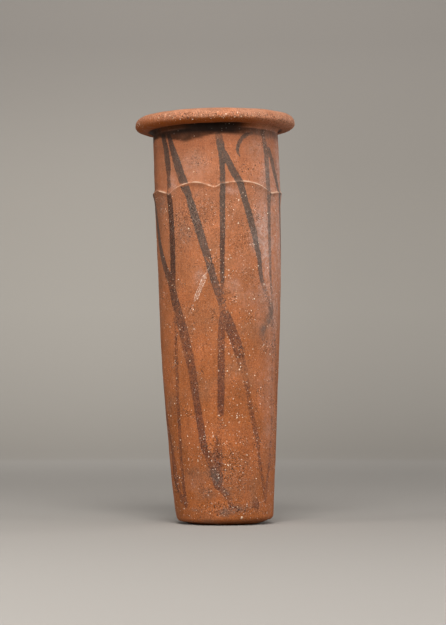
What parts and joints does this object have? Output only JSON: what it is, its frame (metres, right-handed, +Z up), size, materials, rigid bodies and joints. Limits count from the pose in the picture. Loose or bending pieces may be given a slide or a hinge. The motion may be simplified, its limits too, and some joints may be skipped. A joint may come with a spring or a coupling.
{
  "type": "wavy-handled jar",
  "caption": "Tall painted pottery cylinder jar, open at the top, with a flat everted lip, a low scalloped ridge under it and a foot that tapers in.",
  "frame": {"origin": "middle of the flat resting patch of the underside", "axes": "+Z up through the mouth, -Y towards the viewer of the picture, +X to the viewer's right"},
  "size_m": [0.1138, 0.1138, 0.2892],
  "materials": {
    "fired_clay": "matt red-brown fired clay with a soft burnish and worn grey-brown painted strokes"
  },
  "bodies": {
    "root": {"jar": "fired_clay"}
  },
  "joints": []
}
